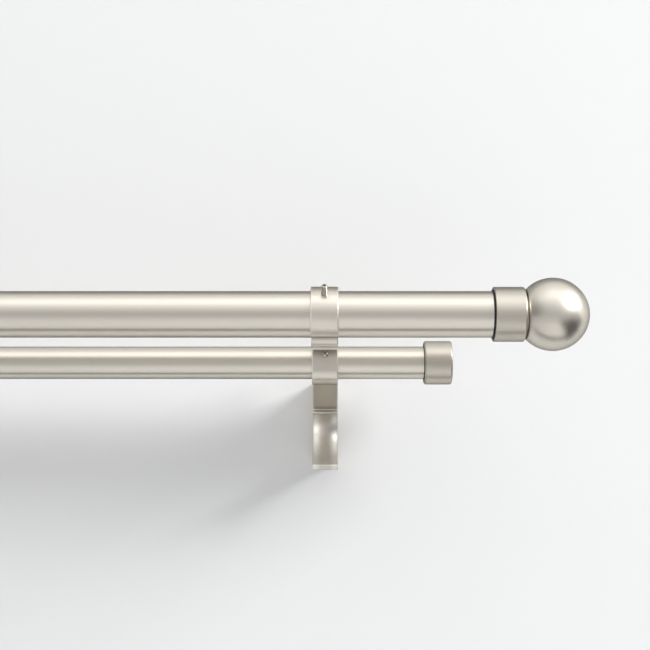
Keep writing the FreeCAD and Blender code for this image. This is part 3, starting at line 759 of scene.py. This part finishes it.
# Wall, floor and light
# A pale painted wall behind the brackets and a pale floor below. Soft lamps stand high at the right, low
# beside it and overhead, and a panel at the left lights the castings alone. Dark cards and a pale surround
# give the metal something to reflect.

WALL_PAINT = (0.775, 0.777, 0.78, 1.0)
WALL_PAINT_WARM = (0.785, 0.785, 0.783, 1.0)
FLOOR_PAINT = (0.64, 0.642, 0.645, 1.0)
FLOOR_PAINT_WARM = (0.66, 0.66, 0.658, 1.0)
WALL_GAP = 0.0003
FLOOR_HEIGHT = -1.2
CARD_LIFT = 0.01
STAGE_MIDDLE = -0.25
TOUCH = (0.001, 0.002)
LAMP_TARGET = Vector((0.0, -0.07, 0.05))


def sheet_object(name, width, height, place, normal, material):
    """A flat stage sheet, facing along its normal."""
    data = bpy.data.meshes.new(name)
    corners = [(x * width / 2, y * height / 2, 0.0) for x, y in ((-1, -1), (1, -1), (1, 1), (-1, 1))]
    data.from_pydata(corners, [], [(0, 1, 2, 3)])
    data.materials.append(material)
    sheet = bpy.data.objects.new(name, data)
    sheet.location = place
    sheet.rotation_euler = Vector(normal).to_track_quat("Z", "Y").to_euler()
    bpy.context.scene.collection.objects.link(sheet)
    return sheet


def one_sided(name, first, second):
    """Matt paint with faint clouds, clear from behind and to what touches it, so the back still shows."""
    nodes = new_finish(name)
    cloud = nodes.noise(nodes.place(), 3.0)
    paint = nodes.add("ShaderNodeBsdfDiffuse", {}, {"Color": nodes.blend(cloud, first, second)})
    clear = nodes.add("ShaderNodeBsdfTransparent")
    behind = nodes.add("ShaderNodeNewGeometry", output="Backfacing")
    touching = 1 - nodes.add("ShaderNodeLightPath", output="Ray Length").between(*TOUCH)
    coat = nodes.add("ShaderNodeMixShader", {}, {0: behind + touching, 1: paint, 2: clear})
    nodes.close(coat, "ShaderNodeOutputMaterial")
    return nodes.owner


def dark_card(name, width, height, place, normal, material):
    """A card that only reflections show."""
    card = sheet_object(name, width, height, place, normal, material)
    card.visible_camera = False
    card.visible_diffuse = False
    card.visible_shadow = False


def soft_lamp(name, width, height, direction, distance, radiance):
    """A rectangular soft lamp aimed at the bracket, hidden from the camera."""
    lamp = bpy.data.lights.new(name, "AREA")
    lamp.shape = "RECTANGLE"
    lamp.size = width
    lamp.size_y = height
    lamp.energy = radiance * width * height * math.pi
    thing = bpy.data.objects.new(name, lamp)
    aim = Vector(direction).normalized()
    thing.location = LAMP_TARGET + aim * distance
    thing.rotation_euler = aim.to_track_quat("Z", "Y").to_euler()
    thing.visible_camera = False
    bpy.context.scene.collection.objects.link(thing)
    return thing


wall_paint = one_sided("pale_wall_paint", WALL_PAINT, WALL_PAINT_WARM)
floor_paint = one_sided("pale_floor_paint", FLOOR_PAINT, FLOOR_PAINT_WARM)
black_card = one_sided("black_card", grey(0.015), grey(0.03))
grey_flag = one_sided("grey_flag", grey(0.38), grey(0.42))

forward = (0, -1, 0)
upward = (0, 0, 1)
sheet_object("wall", 5.0, 4.0, (STAGE_MIDDLE, WALL_GAP, 0.6), forward, wall_paint)
sheet_object("floor", 5.0, 3.0, (STAGE_MIDDLE, -1.5, FLOOR_HEIGHT), upward, floor_paint)
dark_card("dark_strip", 4.0, 0.30, (STAGE_MIDDLE, -0.26, FLOOR_HEIGHT + CARD_LIFT), upward, black_card)
dark_card("dark_corner", 2.6, 1.9, (1.75, -0.8, -0.5), upward, black_card)
dark_card("back_flag", 1.1, 0.047, (-0.15, -0.074, 0.1165), forward, grey_flag)

soft_lamp("key_lamp", 2.2, 1.8, (0.76, -0.39, 0.52), 6.0, 28.5)
soft_lamp("side_lamp", 0.7, 0.9, (0.95, -0.04, 0.25), 1.5, 1.0)
panel = soft_lamp("left_panel", 1.5, 3.6, (-0.93, -0.37, 0.05), 1.5, 1.25)
panel.light_linking.receiver_collection = castings
soft_lamp("overhead_lamp", 2.6, 0.95, (0.0, -0.39, 0.92), 1.4, 0.35)

# The surround is brightest overhead and dimmest near the horizon, except on the camera's side.
world = bpy.data.worlds.new("pale_surround")
bpy.context.scene.world = world
surround = Nodes(world)
side, away, rise = surround.split(surround.add("ShaderNodeTexCoord", output="Generated"))
frontal = -away / (side ** 2.0 + away ** 2.0) ** 0.5
beside = 1 - frontal.between(0.5, 0.9)
dusk = rise.between(-0.15, 0.0) * beside
glow = 0.53 + 0.72 * rise.between(0.05, 0.95) + 0.16 * (-rise).between(0.1, 0.3) - 0.36 * dusk
sky = surround.add("ShaderNodeBackground", {}, {"Color": (0.98, 0.99, 1.0, 1.0), "Strength": glow})
surround.close(sky, "ShaderNodeOutputWorld")

# Camera
# It looks level and square at the wall from three quarters of a metre in front, just to the right of the
# right-hand bracket. A small shift sets the bracket's place in the picture.

camera = bpy.data.cameras.new("camera")
camera.lens = 67.6
camera.sensor_width = 36.0
camera.shift_x = -0.0094
stand = bpy.data.objects.new("camera", camera)
stand.location = (0.0036, -0.762, 0.0602)
stand.rotation_euler = (math.radians(90), 0, 0)
bpy.context.scene.collection.objects.link(stand)
bpy.context.scene.camera = stand
bpy.context.scene.view_settings.view_transform = "Standard"
